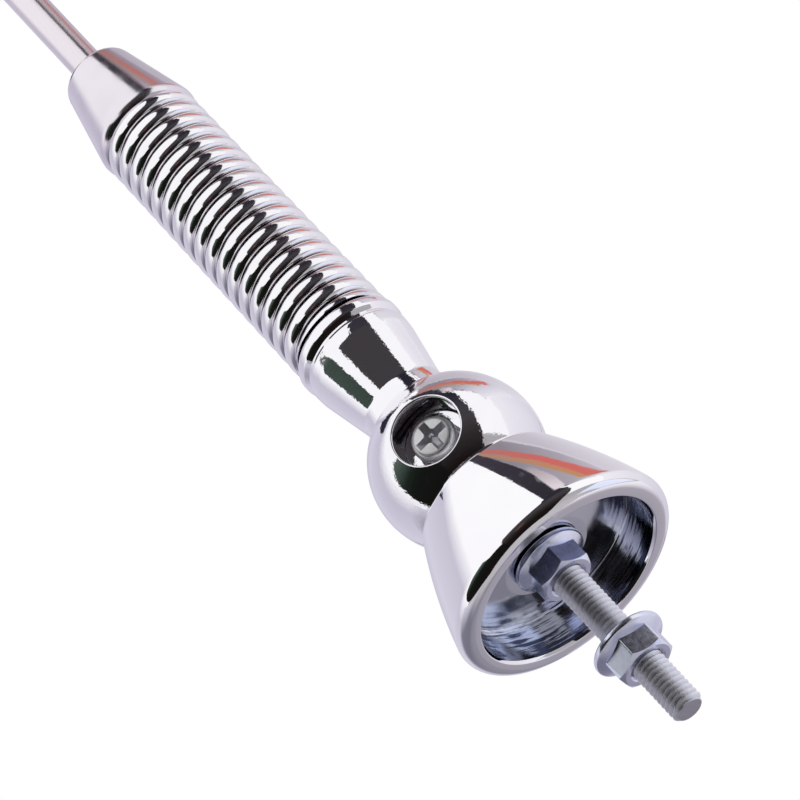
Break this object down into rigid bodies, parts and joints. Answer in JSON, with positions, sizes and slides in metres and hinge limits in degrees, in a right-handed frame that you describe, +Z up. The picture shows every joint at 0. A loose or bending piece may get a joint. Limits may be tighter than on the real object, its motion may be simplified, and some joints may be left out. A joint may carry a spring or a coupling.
{
  "type": "telescopic antenna",
  "caption": "Telescopic vehicle antenna: bell-shaped base on a threaded stud with flange nuts, screw-clamped ball swivel, close-wound coil spring and a sliding mast.",
  "frame": {"origin": "centre of the bell's rim plane, where the base meets the panel, on the stud's axis", "axes": "+Z up the mast, -Z out of the stud's free end, the pivot screw along Y with its head towards -Y"},
  "size_m": [0.0424, 0.0424, 0.3772],
  "materials": {
    "chromed_zinc": "polished chrome on die-cast zinc",
    "chromed_steel": "polished chrome on spring steel",
    "zinc_plated_steel": "bright bluish zinc plating",
    "nickel_plated_brass": "polished nickel plating on drawn brass",
    "brass": "bare turned brass",
    "acetal": "off-white acetal"
  },
  "bodies": {
    "base": {"bell": "chromed_zinc", "lower_knuckle": "chromed_zinc", "mounting_stud": "zinc_plated_steel", "bell_nut": "zinc_plated_steel", "pivot_screw": "zinc_plated_steel", "pivot_nut": "zinc_plated_steel", "pivot_lock_washer": "zinc_plated_steel", "friction_washer": "acetal"},
    "clamp_nut": {"mounting_nut": "zinc_plated_steel"},
    "knuckle": {"upper_knuckle": "chromed_zinc", "coil_spring": "chromed_steel"},
    "mast": {"ferrule": "chromed_zinc", "mast_base_plug": "brass", "mast_tube_1": "nickel_plated_brass"},
    "section_2": {"mast_tube_2": "nickel_plated_brass", "friction_sleeve_2": "brass"},
    "section_3": {"mast_tube_3": "nickel_plated_brass", "friction_sleeve_3": "brass"},
    "section_4": {"mast_tube_4": "nickel_plated_brass", "friction_sleeve_4": "brass"},
    "tip": {"mast_tip_rod": "nickel_plated_brass", "tip_knob": "chromed_zinc", "friction_sleeve_5": "brass"}
  },
  "joints": [
    {"name": "swivel", "type": "hinge", "parent": "base", "child": "knuckle", "pos_m": [0, 0, 0.0311], "axis": [0, 1, 0], "range_deg": [-90, 90]},
    {"name": "spring_flex", "type": "hinge", "parent": "knuckle", "child": "mast", "pos_m": [0, 0, 0.09605], "axis": [1, 0, 0], "range_deg": [-25, 25], "stiffness_Nm_per_rad": 2.2, "deforming": ["coil_spring"]},
    {"name": "section_2_slide", "type": "slide", "parent": "mast", "child": "section_2", "axis": [0, 0, 1], "range_m": [0, 0.17]},
    {"name": "section_3_slide", "type": "slide", "parent": "section_2", "child": "section_3", "axis": [0, 0, 1], "range_m": [0, 0.174]},
    {"name": "section_4_slide", "type": "slide", "parent": "section_3", "child": "section_4", "axis": [0, 0, 1], "range_m": [0, 0.178]},
    {"name": "tip_slide", "type": "slide", "parent": "section_4", "child": "tip", "axis": [0, 0, 1], "range_m": [0, 0.182]},
    {"name": "mounting_nut_travel", "type": "slide", "parent": "base", "child": "clamp_nut", "axis": [0, 0, 1], "range_m": [-0.01, 0.0135]}
  ]
}
